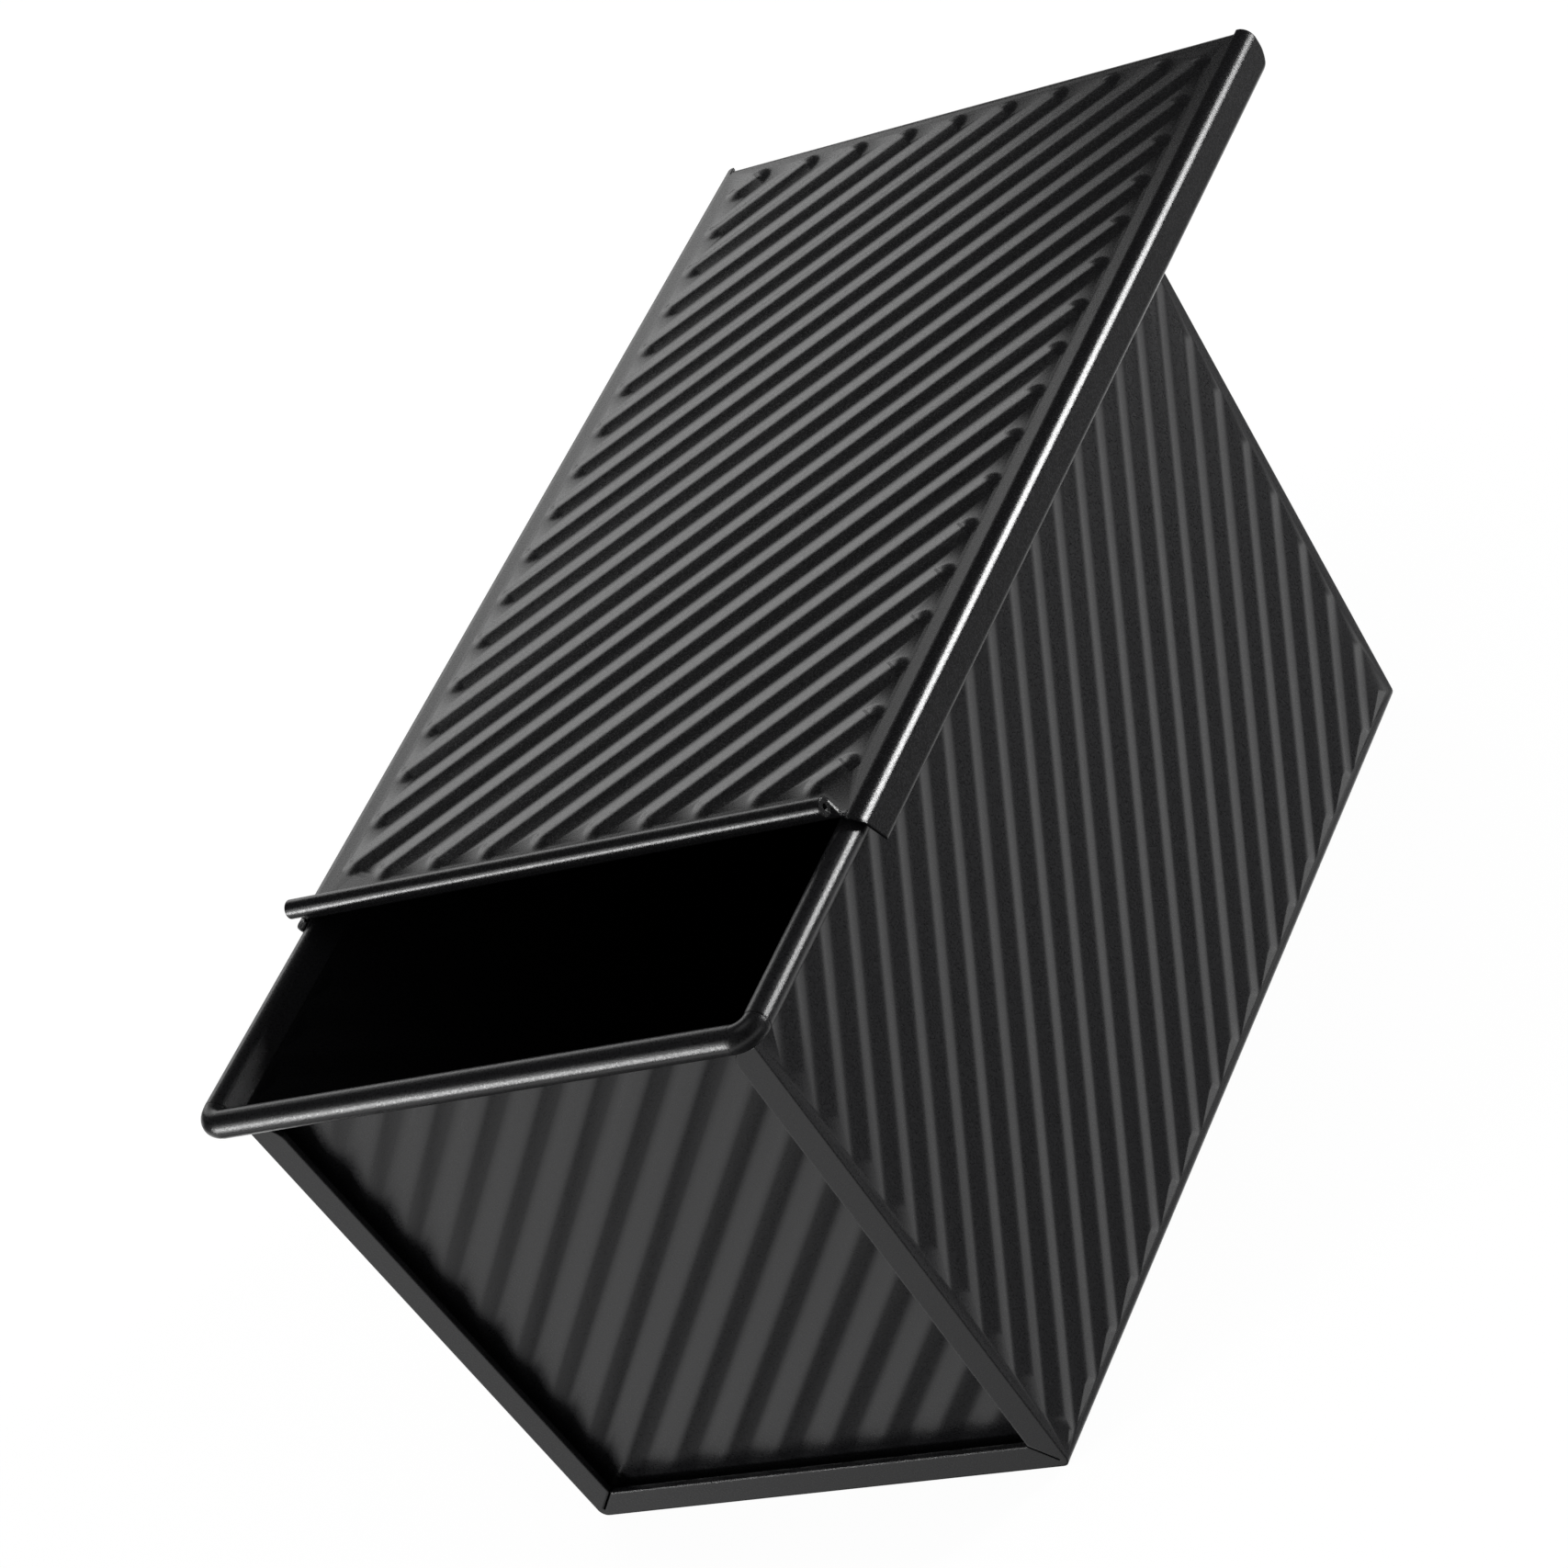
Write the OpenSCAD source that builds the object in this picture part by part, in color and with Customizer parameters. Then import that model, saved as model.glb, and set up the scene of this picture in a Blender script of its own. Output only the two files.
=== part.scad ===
// Pullman loaf pan: a folded sheet-steel pan with a rolled wire rim and a
// lid that slides along the rim. Millimetres. The pan stands on z = 0 with
// the middle of its base at the origin, its length along Y, and the lid's
// finger roll at the -Y end.

/* [Pan] */
// Width of the base over the outside of the sheet
base_w = 102.6; // [80:0.1:140]
// Length of the base over the outside of the sheet
base_l = 192.4; // [150:0.1:320]
// Height of the rim's top above the table
rim_h = 114.2; // [70:0.1:150]
// How far each long wall leans out in 100 mm of height
side_draft = 3.3; // [2:0.1:5]
// How far each end leans out in 100 mm of height
end_draft = 5; // [3:0.1:6]
// Thickness of the coated steel sheet
sheet = 0.6; // [0.5:0.05:0.7]
// Outer radius of the bends between the base and the long walls
base_bend = 1.6; // [1.2:0.1:4]

/* [End frames] */
// Width of the folded flange that frames each end panel
flange_w = 5.7; // [4:0.1:8]
// Depth of the end panel behind the face of its frame
recess = 3.8; // [2.4:0.1:5]
// Space between the top of a side flange and the top of the rim
flange_top_gap = 7.4; // [6.5:0.1:14]
// Radius of the side flanges' inner top corners
flange_tip = 3.9; // [1:0.1:4]
// Width of the mitre slits at the frame's lower corners
mitre_slit = 0.4; // [0.2:0.05:0.8]

/* [Rim] */
// Outer diameter of the rolled rim
bead_d = 5; // [4:0.1:6]
// Distance of the roll's middle outside the long walls
side_reach = 3.3; // [2.7:0.1:6]
// Distance of the roll's middle outside the end frames
end_reach = 2.8; // [2.6:0.1:4]
// Radius of the rim's corners at the middle of the roll
rim_corner = 3.2; // [2.8:0.1:8]

/* [Ribs] */
// Distance between ribs, square to them
rib_pitch = 8.2; // [7.8:0.1:12]
// Height of a rib above the sheet
rib_h = 0.55; // [0.4:0.05:1.2]
// Width of a rib's flat crest
rib_crest = 1.5; // [0.8:0.1:2]
// Width of a rib at its foot
rib_foot = 6.6; // [5:0.1:7.4]
// Lean of the ribs from the horizontal
rib_angle = 45; // [30:1:60]
// How far up the walls' middle, square to the ribs, the first rib lies
wall_rib_shift = 4.4; // [0:0.1:12]
// The same for the end panels
panel_rib_shift = 3.1; // [0:0.1:12]
// The same for the lid, from its middle towards the far end
lid_rib_shift = 7.2; // [0:0.1:12]
// Plain border round the ribs of the long walls
wall_margin = 2.5; // [2:0.1:8]
// Plain border at the sides and foot of the end panels
panel_margin = 4; // [2:0.1:8]
// Plain border round the ribs of the base
base_margin = 6; // [4:0.1:12]
// Distance between the lid's ribs, square to them
lid_rib_pitch = 8.35; // [7.8:0.05:12]
// Distance from the lid's side bends to the middles of the ribs' round tips
lid_margin = 6; // [4:0.1:12]
// Distance from the finger roll's foot to the nearest of those tips
lid_near_margin = 8.3; // [6:0.1:16]
// Distance from the bend at the lid's far end to the nearest of those tips
lid_far_margin = 4.4; // [4:0.1:12]

/* [Lid] */
// Gap between the lid and the top of the rolled rim
lid_gap = 0.35; // [0.2:0.05:0.8]
// Gap between the shut lid's far stop and the rolled rim
stop_gap = 1; // [0.3:0.05:3]
// Gap between each side channel and the rolled rim
lid_side_gap = 0.8; // [0.3:0.05:1.5]
// Outer radius of the bends along the lid's edges
lid_bend = 2.7; // [1.8:0.1:3]
// Depth of the lid's side channels over all
channel_h = 8.6; // [8.2:0.1:12]
// Width of the lip that hooks in under the rim
lip_w = 4; // [2.8:0.1:5]
// Length at the near end where the lip is cut away
lip_back = 8; // [4:0.5:20]
// Depth of the stop at the lid's far end
stop_h = 6; // [4:0.1:8]
// Radius of the side channels' lower far corners
channel_tip = 4.5; // [2:0.1:5]
// How far the near ends of the side channels slant back
channel_slant = 2.8; // [0:0.1:4]
// How far the shut lid stops short of the near roll's middle
near_short = 1; // [0:0.1:2]
// How far the lid is drawn back from shut
lid_back = 45.7; // [0:0.1:150]

/* [Finger roll] */
// Diameter of the roll along the lid's near edge
roll_d = 3.5; // [3:0.1:5]
// Height of the roll's middle above the lid
roll_rise = 4.1; // [3.6:0.1:6]
// Space from each end of the roll to the lid's side
roll_inset = 3.7; // [3.2:0.1:10]
// Radius of the bend from the lid up to the roll
roll_bend = 1.5; // [1:0.1:1.6]

/* [Hidden] */
$fn = 48;

// Gap where two sheets lie against each other
seam = 0.05;
// Overlap that joins two shapes of one piece
bite = 0.2;
// Draw-in of the rolled sheet and its wire round the rim's corners
corner_draw = 0.03;
// Slits that part the lid's near bend from its side channels
lid_slit = 0.4;
// Rise of a rib's flank, and the depth at which its feet start in the sheet
flank = (rib_foot - rib_crest) / 2 / rib_h;
rib_root = min(0.15, 0.4 * (min(rib_pitch, lid_rib_pitch) - rib_foot) / flank);
// Reach of the blocks that trim a shape
far = 400;

side_lean = atan(side_draft / 100);
end_lean = atan(end_draft / 100);
function half_w(z) = base_w / 2 + z * side_draft / 100;
function half_l(z) = base_l / 2 + z * end_draft / 100;

// Rim: middle line of the roll
bead_r = bead_d / 2;
bead_z = rim_h - bead_r;
bead_x = half_w(bead_z) + side_reach;
bead_y = half_l(bead_z) + end_reach;
roll_from = bead_y - rim_corner;
wire_r = bead_r - sheet - seam;

// The sheet slopes out to the roll and meets it just off its tangent
slope_r = bead_r + 0.08;
function slope_run(angle) = sin(angle) * slope_r;
function slope_up(angle) = bead_z + cos(angle) * slope_r;

// Long walls: where their slope starts
wall_slope = 58;
wall_slope_len = (bead_x - slope_run(wall_slope) - base_w / 2 + sheet
    - slope_up(wall_slope) * side_draft / 100)
    / (cos(wall_slope) - sin(wall_slope) * side_draft / 100);
wall_top = slope_up(wall_slope) - sin(wall_slope) * wall_slope_len;

// End panels: where their slope starts
flange_t = 2 * sheet;
panel_slope = 46;
panel_y = half_l(rim_h - 3 * bead_r) - recess;
panel_slope_len = (bead_y - slope_run(panel_slope) - panel_y + sheet) / cos(panel_slope);
panel_slope_z = slope_up(panel_slope) - sin(panel_slope) * panel_slope_len;
panel_top = panel_slope_z / cos(end_lean);

// Lid, in its shut place
lid_z = rim_h + lid_gap;
lid_top = lid_z + sheet;
lid_side = bead_x + bead_r + lid_side_gap + sheet;
lid_far = bead_y + bead_r + stop_gap + sheet;
lid_near = bead_y - near_short;
channel_low = lid_top - channel_h;
roll_r = roll_d / 2;
roll_y = lid_near + roll_r - bite;
roll_z = lid_top + roll_rise;
roll_half = lid_side - roll_inset;
riser_y = roll_y - roll_r;

// Points of an arc, from one angle to another
function arc(c, r, a, b, n = 6) =
    [for (i = [0:n]) c + r * [cos(a + (b - a) * i / n), sin(a + (b - a) * i / n)]];

// Outline of the pan seen along its length, shrunk by some distance all round
function wrap_outline(inset, top) =
    let (r = max(base_bend - inset, 0.1), w = half_w(inset) - inset - r)
    concat(
        [[-half_w(top) + inset, top]],
        arc([-w, inset + r], r, 180 + side_lean, 270),
        arc([w, inset + r], r, 270, 360 - side_lean),
        [[half_w(top) - inset, top]]);

// Ribs side by side, running along X, with their feet sunk in the sheet
module rib_rows(u_from, u_to, phase, reach) {
    first = ceil((u_from - phase) / rib_pitch);
    last = floor((u_to - phase) / rib_pitch);
    outline = [
        for (i = [first:last])
            for (p = rib_outline)
                [phase + i * rib_pitch + p[0], p[1]]
    ];
    floor_z = -rib_root - bite / 2;
    rotate([90, 0, 90])
        translate([0, 0, -reach])
            linear_extrude(2 * reach)
                polygon(concat(
                    [[outline[0][0], floor_z]],
                    outline,
                    [[outline[len(outline) - 1][0], floor_z]]));
}

// A rib seen along its length
rib_outline = [
    [-rib_foot / 2 - rib_root * flank, -rib_root],
    [-rib_crest / 2, rib_h],
    [rib_crest / 2, rib_h],
    [rib_foot / 2 + rib_root * flank, -rib_root]
];

// One rib along X between two points, with round sloping tips
module tipped_rib(from, to) {
    translate([from, 0, 0])
        rotate([90, 0, 90])
            linear_extrude(to - from)
                polygon(rib_outline);
    for (tip = [[from, 90], [to, -90]])
        translate([tip[0], 0, 0])
            rotate([0, 0, tip[1]])
                rotate_extrude(angle = 180)
                    polygon([[0, -rib_root], rib_outline[3], rib_outline[2], [0, rib_h]]);
}

// Slanting ribs with round tips over a rectangle of the XY plane. The tips'
// middles lie on its edges.
module tipped_field(half, y0, y1, phase) {
    s = sin(rib_angle);
    c = cos(rib_angle);
    reach = (half + max(abs(y0), abs(y1))) * max(s, c);
    for (i = [-ceil(reach / lid_rib_pitch) - 1 : ceil(reach / lid_rib_pitch)]) {
        p = phase + i * lid_rib_pitch;
        from = max((s * p - half) / c, (y0 - c * p) / s);
        to = min((s * p + half) / c, (y1 - c * p) / s);
        if (to - from > rib_crest)
            rotate([0, 0, rib_angle])
                translate([0, p, 0])
                    tipped_rib(from, to);
    }
}

// Half space that trims the ribs to a slope along one edge of their field.
// The edge runs along Y through the origin and the field lies on its -X side.
module edge_trim() {
    rotate([0, -atan(flank), 0])
        translate([0, -far, -far])
            cube([far, 2 * far, 2 * far]);
}

// Field of slanting ribs on the XY plane, rising along +Z. The field is a
// trapezium from y0 to y1, half as wide as half at y = 0 and wider by k per mm.
module rib_field(half, k, y0, y1, phase) {
    wide = half + k * max(y1, 0);
    reach = wide + y1 - y0;
    swing = (wide + max(abs(y0), abs(y1))) * max(sin(rib_angle), cos(rib_angle));
    difference() {
        intersection() {
            rotate([0, 0, rib_angle])
                rib_rows(-swing, swing, phase, reach);
            translate([-wide, y0, -1])
                cube([2 * wide, y1 - y0, 1 + rib_h]);
        }
        for (side = [1, -1])
            scale_x(side)
                translate([half, 0, 0])
                    rotate([0, 0, -atan(k)])
                        edge_trim();
        translate([0, y1, 0])
            rotate([0, 0, 90])
                edge_trim();
        translate([0, y0, 0])
            rotate([0, 0, -90])
                edge_trim();
    }
}

// Left or right copy of a shape
module scale_x(side) {
    if (side > 0) children();
    else mirror([1, 0, 0]) children();
}

// Both long walls: the shape's X runs along the wall, Y up it, Z outwards
module on_walls() {
    for (turn = [0, 180])
        rotate([0, 0, turn])
            translate([base_w / 2, 0, 0])
                rotate([90 + side_lean, 0, 90])
                    children();
}

// One end: the shape's X runs across it, Y up it, Z outwards
module on_end(turn) {
    rotate([0, 0, turn])
        translate([0, -base_l / 2, 0])
            rotate([90 + end_lean, 0, 0])
                children();
}

// Everything between the middle planes of the two end frames, up to a height
module between_ends(top) {
    rotate([90, 0, 90])
        translate([0, 0, -far / 2])
            linear_extrude(far)
                polygon([[sheet - half_l(-1), -1], [half_l(-1) - sheet, -1],
                         [half_l(top) - sheet, top], [sheet - half_l(top), top]]);
}

// Solid that runs the length of the pan with the wrap's outline
module wrap_block(inset, top) {
    rotate([90, 0, 0])
        translate([0, 0, -far / 2])
            linear_extrude(far)
                polygon(wrap_outline(inset, top));
}

wall_rib_top = (wall_top - 1) / cos(side_lean);
wall_rib_foot = base_bend + wall_margin / 2;

module wall_ribs() {
    rib_field(base_l / 2 - wall_margin, end_draft / 100, wall_rib_foot, wall_rib_top, wall_rib_shift);
}

module base_ribs() {
    half_length = base_l / 2 - base_margin;
    rib_field(base_w / 2 - base_margin, 0, -half_length, half_length, rib_pitch / 2);
}

// Frame folded across one end: two side flanges and a lower one, mitred
module end_frame(turn) {
    top = (rim_h - flange_top_gap) / cos(end_lean);
    k = side_draft / 100 * cos(end_lean);
    inner0 = base_w / 2 - flange_w;
    intersection() {
        wrap_block(0, rim_h);
        on_end(turn)
            translate([0, 0, -flange_t])
                difference() {
                    linear_extrude(flange_t)
                        difference() {
                            translate([-far / 2, -1]) square([far, top + 1]);
                            polygon(concat(
                                [[-inner0 - k * flange_w, flange_w], [inner0 + k * flange_w, flange_w]],
                                arc([inner0 + k * (top - flange_tip) + flange_tip, top - flange_tip],
                                    flange_tip, 180, 90),
                                [[inner0 + flange_tip + k * top, top + 1],
                                 [-inner0 - flange_tip - k * top, top + 1]],
                                arc([-inner0 - k * (top - flange_tip) - flange_tip, top - flange_tip],
                                    flange_tip, 90, 0)));
                        }
                    for (side = [1, -1])
                        scale_x(side)
                            translate([inner0 + k * flange_w, flange_w, -1])
                                rotate([0, 0, -45])
                                    translate([-flange_w / 4, -mitre_slit / 2, 0])
                                        cube([flange_w * 1.25, mitre_slit, flange_t + 2]);
                }
    }
}

// Sheet that slopes up and outwards to the roll. The roll's middle is the
// origin and the roll lies on the -X side of the sheet.
module slope_section(angle, len) {
    rotate(-angle)
        translate([bite / 2, slope_r - sheet])
            square([len + bite / 2, sheet]);
}

module side_rolls() {
    for (turn = [0, 180])
        rotate([0, 0, turn])
            translate([bead_x, roll_from - seam, bead_z])
                rotate([90, 0, 0])
                    linear_extrude(2 * (roll_from - seam)) {
                        ring(bead_r, bead_r - sheet);
                        mirror([1, 0]) slope_section(wall_slope, wall_slope_len);
                    }
}

// Base and long walls in one sheet, with its rims and its end frames
module body_wrap() {
    color("#1d1d1f") {
        difference() {
            intersection() {
                union() {
                    difference() {
                        wrap_block(0, wall_top);
                        base_ribs();
                    }
                    on_walls() wall_ribs();
                }
                between_ends(wall_top);
            }
            difference() {
                wrap_block(sheet, rim_h + 1);
                translate([0, 0, sheet]) base_ribs();
            }
            on_walls()
                translate([0, 0, -sheet])
                    wall_ribs();
        }
        end_frame(0);
        end_frame(180);
        side_rolls();
    }
}

// Roll along one end and round its two corners, as a ring of some radii
module end_roll(outer, inner) {
    half = bead_x - rim_corner + bite / 2;
    translate([-half, -bead_y, bead_z])
        rotate([90, 0, 90])
            linear_extrude(2 * half)
                ring(outer, inner);
    for (side = [1, -1])
        translate([side * (bead_x - rim_corner), -roll_from, bead_z])
            rotate([0, 0, side > 0 ? 270 : 180])
                rotate_extrude(angle = 90)
                    translate([rim_corner, 0])
                        ring(outer - corner_draw, inner + corner_draw);
}

// Ring, or a full disc where it has no inner radius
module ring(outer, inner) {
    difference() {
        circle(outer);
        if (inner > corner_draw) circle(inner);
    }
}

// Sheet that slopes out from the top of an end panel to the roll
module panel_slope_sheet() {
    width = half_w(panel_slope_z) - sheet - seam;
    translate([-width, -bead_y, bead_z])
        rotate([90, 0, 90])
            linear_extrude(2 * width)
                slope_section(panel_slope, panel_slope_len);
}

// Solid over the outline of an end panel
module panel_outline(inset, top) {
    translate([0, 0, -20])
        linear_extrude(40)
            polygon(wrap_outline(inset, top));
}

// Gap and sheet between an end panel's edge and the outside of the wrap
panel_foot = sheet + seam;

module panel_ribs() {
    half = base_w / 2 - panel_foot - panel_margin;
    rib_field(half, side_draft / 100, panel_foot + panel_margin, panel_top - 1, panel_rib_shift);
}

// One end: a ribbed panel set back in the frame, its skirt and its roll
module end_panel(turn) {
    skirt = recess - flange_t - seam;
    color("#202022")
        rotate([0, 0, turn]) {
            on_end(0)
                translate([0, 0, -recess]) {
                    intersection() {
                        difference() {
                            union() {
                                translate([-far / 4, 0, -sheet])
                                    cube([far / 2, panel_top, sheet]);
                                panel_ribs();
                            }
                            translate([0, 0, -sheet]) panel_ribs();
                        }
                        panel_outline(panel_foot, panel_top);
                    }
                    intersection() {
                        difference() {
                            panel_outline(panel_foot, panel_top - 4);
                            panel_outline(panel_foot + sheet, panel_top);
                        }
                        translate([-far / 4, 0, -sheet])
                            cube([far / 2, far, sheet + skirt]);
                    }
                }
            panel_slope_sheet();
            end_roll(bead_r, bead_r - sheet);
        }
}

module near_end_panel() {
    end_panel(0);
}

module far_end_panel() {
    end_panel(180);
}

// Steel wire inside the rolled rim, one closed loop
module rim_wire() {
    color("#8c8c90") {
        end_roll(wire_r, 0);
        rotate([0, 0, 180]) end_roll(wire_r, 0);
        for (side = [1, -1])
            translate([side * bead_x, roll_from + bite / 2, bead_z])
                rotate([90, 0, 0])
                    cylinder(h = 2 * roll_from + bite, r = wire_r);
    }
}

// Edge of the lid seen along it: bend, skirt and, where asked, the lip
module lid_edge_section(side, low, lip) {
    cx = side - lid_bend;
    cz = lid_top - lid_bend;
    intersection() {
        difference() {
            translate([cx, cz]) circle(lid_bend);
            translate([cx, cz]) circle(lid_bend - sheet);
        }
        translate([cx, cz]) square(lid_bend);
    }
    translate([cx - bite, lid_z]) square([bite, sheet]);
    if (lip == 0) {
        translate([side - sheet, low]) square([sheet, cz - low]);
    } else {
        r = 2 * sheet;
        translate([side - sheet, low + r]) square([sheet, cz - low - r]);
        intersection() {
            difference() {
                translate([side - r, low + r]) circle(r);
                translate([side - r, low + r]) circle(r - sheet);
            }
            translate([side - r, low]) square(r);
        }
        translate([side - lip, low]) square([lip - r, sheet]);
    }
}

// Side channel of the lid, with its far corner rounded, its near end slanted
// and its lip cut back
module lid_channel() {
    length = lid_near + lid_far - sheet;
    low_y = lid_far - sheet - channel_tip;
    low_z = channel_low + channel_tip;
    difference() {
        translate([0, -lid_near, 0])
            rotate([90, 0, 180])
                mirror([1, 0, 0])
                    linear_extrude(length)
                        lid_edge_section(lid_side, channel_low, lip_w);
        translate([lid_side - lip_w - 1, low_y, low_z])
            rotate([0, 90, 0])
                difference() {
                    cube([channel_tip + 1, channel_tip + 1, lip_w + 2]);
                    cylinder(h = lip_w + 2, r = channel_tip);
                }
        translate([lid_side - lip_w - 1, -lid_near, lid_top - lid_bend / 2])
            rotate([atan(channel_slant / (channel_h - lid_bend / 2)), 0, 0])
                translate([0, -10, -2 * channel_h])
                    cube([lip_w + 2, 10, 2 * channel_h]);
        translate([lid_side - lip_w - 1, -lid_near - 1, channel_low - 1])
            cube([lip_w + 1 - sheet, lip_back + 1, 1 + 2 * sheet]);
    }
}

lid_flat_x = lid_side - lid_bend;
lid_flat_y = lid_far - lid_bend;
near_flat_y = riser_y - roll_bend;
riser_half = lid_flat_x - lid_slit;

// Bend from the lid's sheet up into the riser, seen from the side
module riser_bend_section() {
    translate([-near_flat_y, lid_top + roll_bend])
        intersection() {
            difference() {
                circle(roll_bend + sheet);
                circle(roll_bend);
            }
            translate([-roll_bend - sheet, -roll_bend - sheet])
                square(roll_bend + sheet);
        }
    translate([-near_flat_y, lid_z])
        square([bite, sheet]);
}

// Finger roll of two turns of the sheet, its riser with slanting ends, and
// the bend at its foot
module finger_roll() {
    foot_z = lid_top + roll_bend;
    translate([-roll_half, -roll_y, roll_z])
        rotate([90, 0, 90])
            linear_extrude(2 * roll_half)
                ring(roll_r, roll_r - 2 * sheet);
    translate([0, -riser_y, 0])
        rotate([90, 0, 0])
            linear_extrude(sheet)
                polygon([[-riser_half, foot_z], [riser_half, foot_z],
                         [roll_half, roll_z], [-roll_half, roll_z]]);
    translate([-riser_half, 0, 0])
        rotate([90, 0, 90])
            linear_extrude(2 * riser_half)
                riser_bend_section();
}

module lid_ribs() {
    first_y = lid_near_margin - near_flat_y;
    last_y = lid_flat_y - lid_far_margin;
    tipped_field(lid_flat_x - lid_margin, first_y, last_y, lid_rib_shift);
}

// Lid: ribbed sheet, two side channels, the far stop and the finger roll
module lid() {
    color("#242426")
        translate([0, lid_back, 0]) {
            difference() {
                union() {
                    translate([-lid_flat_x, -near_flat_y, lid_z])
                        cube([2 * lid_flat_x, lid_flat_y + near_flat_y, sheet]);
                    translate([0, 0, lid_top]) lid_ribs();
                }
                translate([0, 0, lid_z]) lid_ribs();
            }
            for (side = [1, -1])
                scale_x(side)
                    lid_channel();
            translate([-lid_flat_x + lid_slit, 0, 0])
                rotate([90, 0, 90])
                    linear_extrude(2 * (lid_flat_x - lid_slit))
                        lid_edge_section(lid_far, lid_top - stop_h, 0);
            finger_roll();
        }
}

body_wrap();
near_end_panel();
far_end_panel();
rim_wire();
lid();
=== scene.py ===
# %% [markdown]
# # A lidded loaf pan in black coated steel
# The pan is folded from thin steel sheet. Slanting ribs are pressed into every
# face, the rim is rolled round a wire, and a ribbed lid slides along that rim.
# The solid model already has the true shape in metres. This lesson gives it the
# soft creases, the coating and the studio light that a photograph would show.

# %% Load the solid model
import math
import bmesh
import bpy
from mathutils import Matrix, Vector


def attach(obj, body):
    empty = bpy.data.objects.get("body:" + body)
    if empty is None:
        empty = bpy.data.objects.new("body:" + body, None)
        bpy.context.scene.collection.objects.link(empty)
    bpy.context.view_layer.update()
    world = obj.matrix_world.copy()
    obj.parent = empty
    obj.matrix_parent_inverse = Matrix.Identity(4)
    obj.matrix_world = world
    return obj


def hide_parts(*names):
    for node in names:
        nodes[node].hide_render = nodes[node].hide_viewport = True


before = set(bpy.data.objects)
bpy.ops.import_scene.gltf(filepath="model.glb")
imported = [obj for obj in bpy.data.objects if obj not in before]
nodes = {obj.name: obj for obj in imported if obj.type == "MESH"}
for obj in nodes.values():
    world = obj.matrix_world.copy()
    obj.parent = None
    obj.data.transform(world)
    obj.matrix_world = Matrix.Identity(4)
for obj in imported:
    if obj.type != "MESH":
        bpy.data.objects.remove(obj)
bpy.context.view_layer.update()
MM = 0.001
print("nodes:", sorted(nodes))

# %% [markdown]
# ## Colours
# Colours are written as a designer reads them, in sRGB hex. A shader works in
# linear light, so one function converts each of them.


# %% Colour helper
def linear(hex_colour):
    """Turn an sRGB hex colour such as 1c1c1e into linear RGBA."""
    channels = [int(hex_colour[i:i + 2], 16) / 255 for i in (0, 2, 4)]
    return [c / 12.92 if c <= 0.04045 else ((c + 0.055) / 1.055) ** 2.4
            for c in channels] + [1.0]


print("coating, linear:", [round(c, 4) for c in linear("1c1c1e")])

# %% [markdown]
# ## Building a material
# Every finish here is a small node tree. One helper adds a node, fills in its
# settings and makes its links, so that each material reads as a short recipe.


# %% Node helper
def add_node(tree, kind, links=(), **settings):
    """Add a node. Links are (socket, source socket).

    Settings name properties of the node, or with in_ before them its sockets.
    """
    node = tree.nodes.new(kind)
    for name, value in settings.items():
        if name.startswith("in_"):
            key = name[3:]
            socket = node.inputs[int(key) if key.isdigit() else key.replace("_", " ")]
            socket.default_value = value
        else:
            setattr(node, name, value)
    for key, source in links:
        tree.links.new(source, node.inputs[key])
    return node


# %% [markdown]
# ## Non-stick coating on steel
# The sheets are carbon steel with a baked-on black non-stick coating, sprayed as
# a resin that carries mineral grains. To the eye it is satin with a fine sandy
# sparkle, and never one flat black, because broad faint clouds show where the
# spray lay thicker. Two sizes of noise make the grains and the clouds.
# The real grains are about 0.05 mm across. They are drawn at 0.35 mm, because
# finer ones vanish at the size of the picture.
#
# The press leaves a rib no knife edge. The creases could be rounded in the mesh,
# but on these thin slanting ribs the bevel broke a few faces. So a Bevel node
# turns the light softly over each crease, and the mesh stays as it is.

# %% Coating material
GRAIN_MM = 0.35
CLOUD_MM = 40.0
CREASE_MM = 0.5
GRAIN_HEIGHT_MM = 0.08
GRAIN_BUMP = 0.16
# The grains' noise stays mostly between these two levels, where the roughness
# runs from a little below the coating's own to a little above it.
NOISE_LOW, NOISE_HIGH = 0.3, 0.7
SMOOTHER, ROUGHER = 0.06, 0.08
SPECKS = ((0.32, "0d0d0e"), (0.72, "2c2c2e"))


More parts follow.
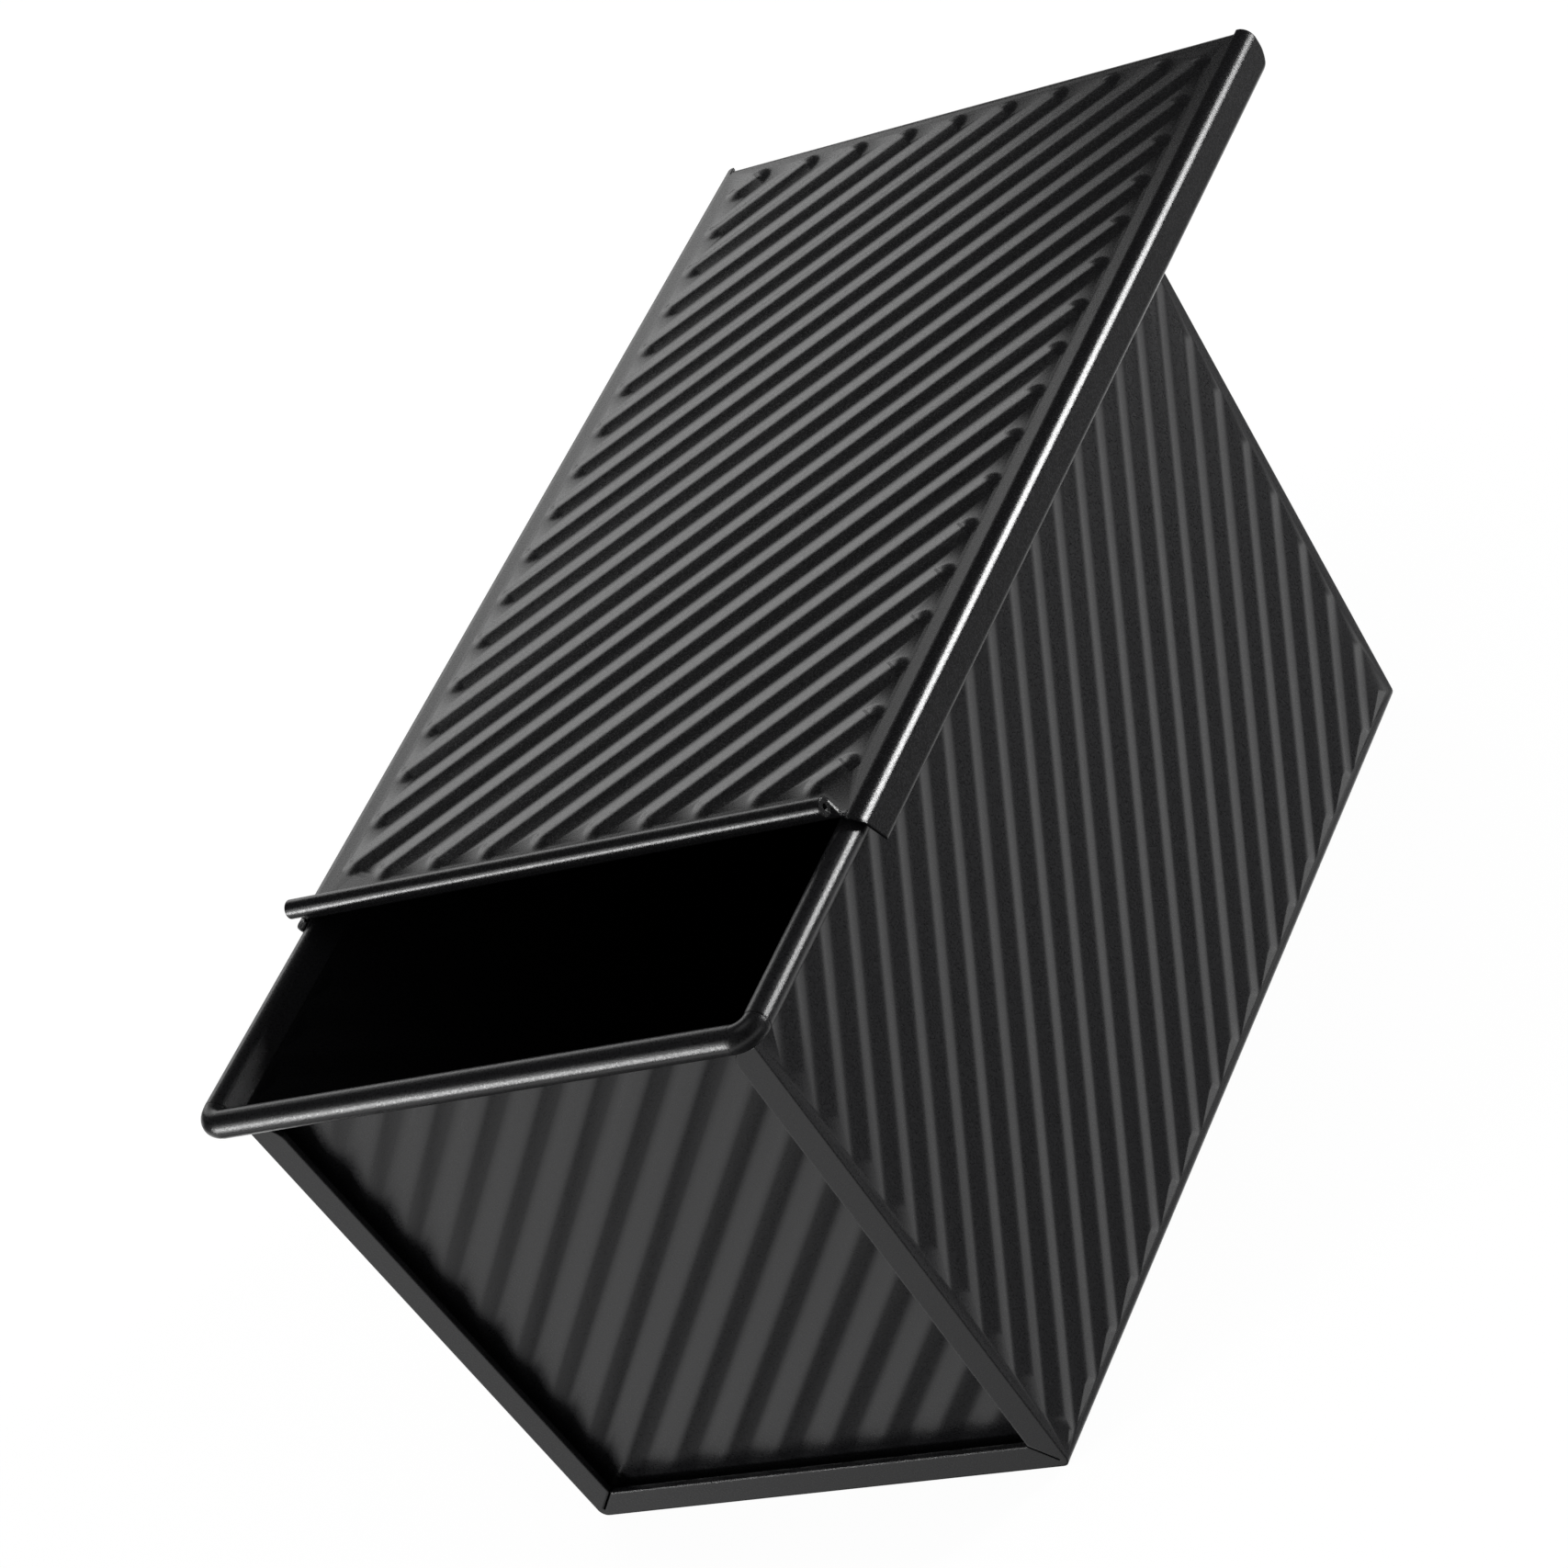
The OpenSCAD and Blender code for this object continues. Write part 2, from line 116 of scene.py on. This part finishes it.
def coating(name, colour, roughness, grain=1.0):
    """Baked non-stick coating: satin black resin with grains in it."""
    material = bpy.data.materials.new(name)
    material.use_nodes = True
    tree = material.node_tree
    tree.nodes.clear()
    place = add_node(tree, "ShaderNodeTexCoord").outputs["Object"]
    grains = add_node(tree, "ShaderNodeTexNoise", [("Vector", place)],
                      in_Scale=1 / (GRAIN_MM * MM), in_Detail=3.0, in_Roughness=0.6)
    clouds = add_node(tree, "ShaderNodeTexNoise", [("Vector", place)],
                      in_Scale=1 / (CLOUD_MM * MM), in_Detail=4.0, in_Roughness=0.55)
    speck = add_node(tree, "ShaderNodeValToRGB", [("Fac", grains.outputs["Fac"])])
    for stop, (level, shade) in zip(speck.color_ramp.elements, SPECKS):
        stop.position = level
        stop.color = linear(shade)
    # Sockets 0, 6 and 7 of a colour Mix are its factor and its two colours.
    tone = add_node(tree, "ShaderNodeMix",
                    [(0, clouds.outputs["Fac"]), (6, speck.outputs["Color"])],
                    data_type="RGBA", in_7=linear(colour))
    rough = add_node(tree, "ShaderNodeMapRange", [("Value", grains.outputs["Fac"])],
                     in_From_Min=NOISE_LOW, in_From_Max=NOISE_HIGH,
                     in_To_Min=roughness - SMOOTHER, in_To_Max=roughness + ROUGHER)
    crease = add_node(tree, "ShaderNodeBevel", samples=4, in_Radius=CREASE_MM * MM)
    bump = add_node(tree, "ShaderNodeBump",
                    [("Height", grains.outputs["Fac"]), ("Normal", crease.outputs["Normal"])],
                    in_Strength=GRAIN_BUMP * grain, in_Distance=GRAIN_HEIGHT_MM * MM)
    skin = add_node(tree, "ShaderNodeBsdfPrincipled",
                    [("Base Color", tone.outputs[2]), ("Roughness", rough.outputs["Result"]),
                     ("Normal", bump.outputs["Normal"])],
                    in_Metallic=0.0, in_IOR=1.5)
    add_node(tree, "ShaderNodeOutputMaterial", [("Surface", skin.outputs["BSDF"])])
    return material


# The lid's coating is a little glossier and finer, so its highlights are crisper.
pan_coating = coating("baked_nonstick_coating_pan", "1c1c1e", 0.30)
lid_coating = coating("baked_nonstick_coating_lid", "1a1a1b", 0.24, grain=0.7)
print("made", pan_coating.name, "and", lid_coating.name)

# %% [markdown]
# ## Drawn steel wire
# The rim is stiffened by a bright drawn wire. It lies inside the roll and can't be
# seen, but it is a piece of its own, so it gets the mottled grey of drawn steel:
# a metal whose tone changes a little about every millimetre.

# %% Wire material
MOTTLES_PER_METRE = 900.0

wire_steel = bpy.data.materials.new("drawn_steel_wire")
wire_steel.use_nodes = True
tree = wire_steel.node_tree
tree.nodes.clear()
place = add_node(tree, "ShaderNodeTexCoord").outputs["Object"]
mottle = add_node(tree, "ShaderNodeTexNoise", [("Vector", place)],
                  in_Scale=MOTTLES_PER_METRE, in_Detail=2.0)
shade = add_node(tree, "ShaderNodeValToRGB", [("Fac", mottle.outputs["Fac"])])
shade.color_ramp.elements[0].color = linear("77777a")
shade.color_ramp.elements[1].color = linear("a9a9ad")
metal = add_node(tree, "ShaderNodeBsdfPrincipled", [("Base Color", shade.outputs["Color"])],
                 in_Metallic=1.0, in_Roughness=0.35)
add_node(tree, "ShaderNodeOutputMaterial", [("Surface", metal.outputs["BSDF"])])
nodes["rim_wire"].data.materials.clear()
nodes["rim_wire"].data.materials.append(wire_steel)
print("made", wire_steel.name)

# %% [markdown]
# ## Sheets with smooth bends
# Each sheet is copied from the solid model and its split corners are welded. The
# bends and rolls are made of narrow facets, so edges up to 10.5 degrees are
# shaded smooth, while the 12 degree creases of the ribs stay edges. Weighted
# normals keep the flat faces flat beside a smooth bend.

# %% Sheets
SMOOTH_ANGLE = 10.5
WELD_MM = 0.001


def smooth_sheet(node_name, piece_name, body, material):
    """Copy a CAD node, weld it and shade its bends smooth."""
    mesh = nodes[node_name].data.copy()
    mesh.name = piece_name
    sheet = bmesh.new()
    sheet.from_mesh(mesh)
    bmesh.ops.remove_doubles(sheet, verts=sheet.verts, dist=WELD_MM * MM)
    sheet.to_mesh(mesh)
    sheet.free()
    mesh.materials.clear()
    mesh.materials.append(material)
    for polygon in mesh.polygons:
        polygon.use_smooth = True
    mesh.set_sharp_from_angle(angle=math.radians(SMOOTH_ANGLE))
    piece = bpy.data.objects.new(piece_name, mesh)
    bpy.context.scene.collection.objects.link(piece)
    weights = piece.modifiers.new("flat_faces_stay_flat", "WEIGHTED_NORMAL")
    weights.keep_sharp = True
    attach(piece, body)
    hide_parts(node_name)
    print(piece_name, "faces:", len(mesh.polygons))


smooth_sheet("body_wrap", "wrap_sheet", "pan", pan_coating)
smooth_sheet("near_end_panel", "near_end_sheet", "pan", pan_coating)
smooth_sheet("far_end_panel", "far_end_sheet", "pan", pan_coating)
smooth_sheet("lid", "lid_sheet", "lid", lid_coating)

# %% [markdown]
# ## Floor
# The pan stands on a pale floor that runs out of the picture on all sides. A lamp
# strong enough to whiten it would flood the pan, so the paper glows white for the
# camera alone. A faint lit layer is added to that, and it takes the pan's shadow.

# %% Floor
FLOOR_REACH = 8.0
# The floor lies a hair below the base, so that the two never share a plane.
FLOOR_DROP = 0.0002
PAPER_GLOW = 0.96
PAPER_LIT = 0.10
PAPER_BOUNCE = 0.25

floor_mesh = bmesh.new()
bmesh.ops.create_grid(floor_mesh, x_segments=1, y_segments=1, size=FLOOR_REACH)
mesh = bpy.data.meshes.new("studio_floor")
floor_mesh.to_mesh(mesh)
floor_mesh.free()
floor = bpy.data.objects.new("studio_floor", mesh)
bpy.context.scene.collection.objects.link(floor)
floor.location.z = -FLOOR_DROP

paper = bpy.data.materials.new("white_studio_paper")
paper.use_nodes = True
tree = paper.node_tree
tree.nodes.clear()
glow = add_node(tree, "ShaderNodeEmission", in_Color=(1, 1, 1, 1), in_Strength=PAPER_GLOW)
lit = add_node(tree, "ShaderNodeBsdfDiffuse", in_Color=(PAPER_LIT, PAPER_LIT, PAPER_LIT, 1))
seen = add_node(tree, "ShaderNodeAddShader", [(0, glow.outputs[0]), (1, lit.outputs[0])])
plain = add_node(tree, "ShaderNodeBsdfDiffuse",
                 in_Color=(PAPER_BOUNCE, PAPER_BOUNCE, PAPER_BOUNCE, 1))
rays = add_node(tree, "ShaderNodeLightPath")
choice = add_node(tree, "ShaderNodeMixShader",
                  [(0, rays.outputs["Is Camera Ray"]), (1, plain.outputs[0]),
                   (2, seen.outputs[0])])
add_node(tree, "ShaderNodeOutputMaterial", [("Surface", choice.outputs[0])])
mesh.materials.append(paper)
floor.visible_glossy = False
print("floor made")

# %% [markdown]
# ## Studio surroundings
# A black shiny thing is lit by what it mirrors. Its slopes and flats differ by
# only twelve degrees, so the room needs clear borders: then one slope of a rib
# shows the bright table and the next one shows the dark. The near end mirrors the
# table in front, the right wall mirrors a strip of table behind it. Only glossy
# rays see this room. The camera sees white, and diffuse rays an even pale fill.

# %% World
# Each table lists (position, grey). FRONT goes by height with a lean, BACK by the
# direction along the floor, and LOW keeps the back strip below the horizon.
FRONT = ((-1.0, 0.06), (-0.59, 0.08), (-0.53, 0.75), (-0.20, 0.75),
         (-0.12, 0.10), (0.0, 0.01), (1.0, 0.01))
BACK = ((-1.0, 0.10), (0.17, 0.14), (0.27, 0.72), (0.62, 0.72),
        (0.85, 1.60), (1.0, 1.60))
LOW = ((-1.0, 1.0), (-0.57, 1.0), (-0.47, 0.45), (-0.02, 0.45),
       (0.06, 0.01), (1.0, 0.01))
TABLE_LEAN = 0.15
BACK_STARTS = 0.1
FILL = 0.25

world = bpy.data.worlds.new("studio_room")
bpy.context.scene.world = world
world.use_nodes = True
tree = world.node_tree
tree.nodes.clear()


def grey_table(value, table):
    """Colour ramp over -1 to 1 that gives the greys of a table."""
    level = add_node(tree, "ShaderNodeMapRange", [("Value", value)],
                     in_From_Min=-1.0, in_From_Max=1.0)
    ramp = add_node(tree, "ShaderNodeValToRGB", [("Fac", level.outputs["Result"])])
    stops = ramp.color_ramp.elements
    for where, grey in table[1:-1]:
        stops.new((where + 1) / 2).color = (grey, grey, grey, 1)
    for end in (0, -1):
        grey = table[end][1]
        stops[end].color = (grey, grey, grey, 1)
    return ramp.outputs["Color"]


direction = add_node(tree, "ShaderNodeTexCoord").outputs["Generated"]
axes = add_node(tree, "ShaderNodeSeparateXYZ", [("Vector", direction)]).outputs
lean = add_node(tree, "ShaderNodeMath", [(0, axes["X"])],
                operation="MULTIPLY", in_1=-TABLE_LEAN)
height = add_node(tree, "ShaderNodeMath", [(0, axes["Z"]), (1, lean.outputs[0])],
                  operation="ADD")
across = add_node(tree, "ShaderNodeMath", [(0, axes["Y"]), (1, axes["X"])],
                  operation="SUBTRACT")
behind = add_node(tree, "ShaderNodeMath", [(0, axes["Y"])],
                  operation="GREATER_THAN", in_1=BACK_STARTS)
front = add_node(tree, "ShaderNodeBackground",
                 [("Color", grey_table(height.outputs[0], FRONT))], in_Strength=1.0)
back = add_node(tree, "ShaderNodeBackground",
                [("Color", grey_table(across.outputs[0], BACK)),
                 ("Strength", grey_table(axes["Z"], LOW))])
mirror = add_node(tree, "ShaderNodeMixShader",
                  [(0, behind.outputs[0]), (1, front.outputs[0]), (2, back.outputs[0])])
fill = add_node(tree, "ShaderNodeBackground", in_Color=(1, 1, 1, 1), in_Strength=FILL)
white = add_node(tree, "ShaderNodeBackground", in_Color=(1, 1, 1, 1), in_Strength=1.0)
rays = add_node(tree, "ShaderNodeLightPath")
soft = add_node(tree, "ShaderNodeMixShader",
                [(0, rays.outputs["Is Glossy Ray"]), (1, fill.outputs[0]),
                 (2, mirror.outputs[0])])
pick = add_node(tree, "ShaderNodeMixShader",
                [(0, rays.outputs["Is Camera Ray"]), (1, soft.outputs[0]),
                 (2, white.outputs[0])])
add_node(tree, "ShaderNodeOutputWorld", [("Surface", pick.outputs[0])])
print("room made")

# %% [markdown]
# ## Soft boxes
# Four soft boxes make the long highlights: one beyond the right wall, a strong and
# a weak one on the left for the near rim, and a wide one behind for the lid. A
# faint one overhead keeps the ribs readable when the pan is seen from the top.

# %% Lamps
MIDDLE = Vector((0.0, 0.02, 0.09))


def soft_box(name, azimuth, elevation, distance, width, height, watts):
    """Area lamp that looks at the pan from an azimuth and an elevation in degrees."""
    a, e = math.radians(azimuth), math.radians(elevation)
    towards = Vector((math.cos(e) * math.cos(a), math.cos(e) * math.sin(a), math.sin(e)))
    lamp = bpy.data.lights.new(name, "AREA")
    lamp.shape = "RECTANGLE"
    lamp.size = width
    lamp.size_y = height
    lamp.energy = watts
    box = bpy.data.objects.new(name, lamp)
    bpy.context.scene.collection.objects.link(box)
    box.location = MIDDLE + towards * distance
    box.rotation_euler = towards.to_track_quat("Z", "Y").to_euler()
    print(name, "at", [round(c, 2) for c in box.location])


soft_box("right_box", 41, 1, distance=1.6, width=0.32, height=0.76, watts=27)
soft_box("left_box", 232, -3, distance=1.6, width=0.40, height=0.62, watts=16)
soft_box("left_high_box", 231, 19, distance=1.6, width=0.40, height=0.35, watts=1.6)
soft_box("back_box", 141, 19, distance=1.8, width=1.00, height=0.74, watts=3.5)
soft_box("top_box", 0, 90, distance=1.8, width=0.9, height=0.9, watts=1.6)

# %% [markdown]
# ## Camera
# The camera looks down on the near corner from the right and is rolled, so that
# the pan stands on its corner in the picture. The lens is long, as for a product.
# A camera could be aimed with a target and a roll. Here its place and its three
# axes were fitted to the edges of the photograph, so they are written directly.

# %% Camera
SENSOR_MM = 36.0
LENS_MM = 139.44
NEAREST = 0.01
CAMERA_RIGHT = Vector((0.78862, 0.34845, -0.50662))
CAMERA_UP = Vector((0.15494, 0.68472, 0.71214))
CAMERA_BACK = Vector((0.59504, -0.64011, 0.48600))
CAMERA_PLACE = Vector((0.6403, -0.6901, 0.6042))

camera_data = bpy.data.cameras.new("photo_camera")
camera_data.sensor_width = SENSOR_MM
camera_data.lens = LENS_MM
camera_data.clip_start = NEAREST
camera = bpy.data.objects.new("photo_camera", camera_data)
bpy.context.scene.collection.objects.link(camera)
columns = (CAMERA_RIGHT, CAMERA_UP, CAMERA_BACK, CAMERA_PLACE)
camera.matrix_world = Matrix([*zip(*columns), (0, 0, 0, 1)])
bpy.context.scene.camera = camera
bpy.context.scene.view_settings.view_transform = "Standard"
print("camera at", [round(c, 3) for c in camera.location])

# %% End
print("scene built")
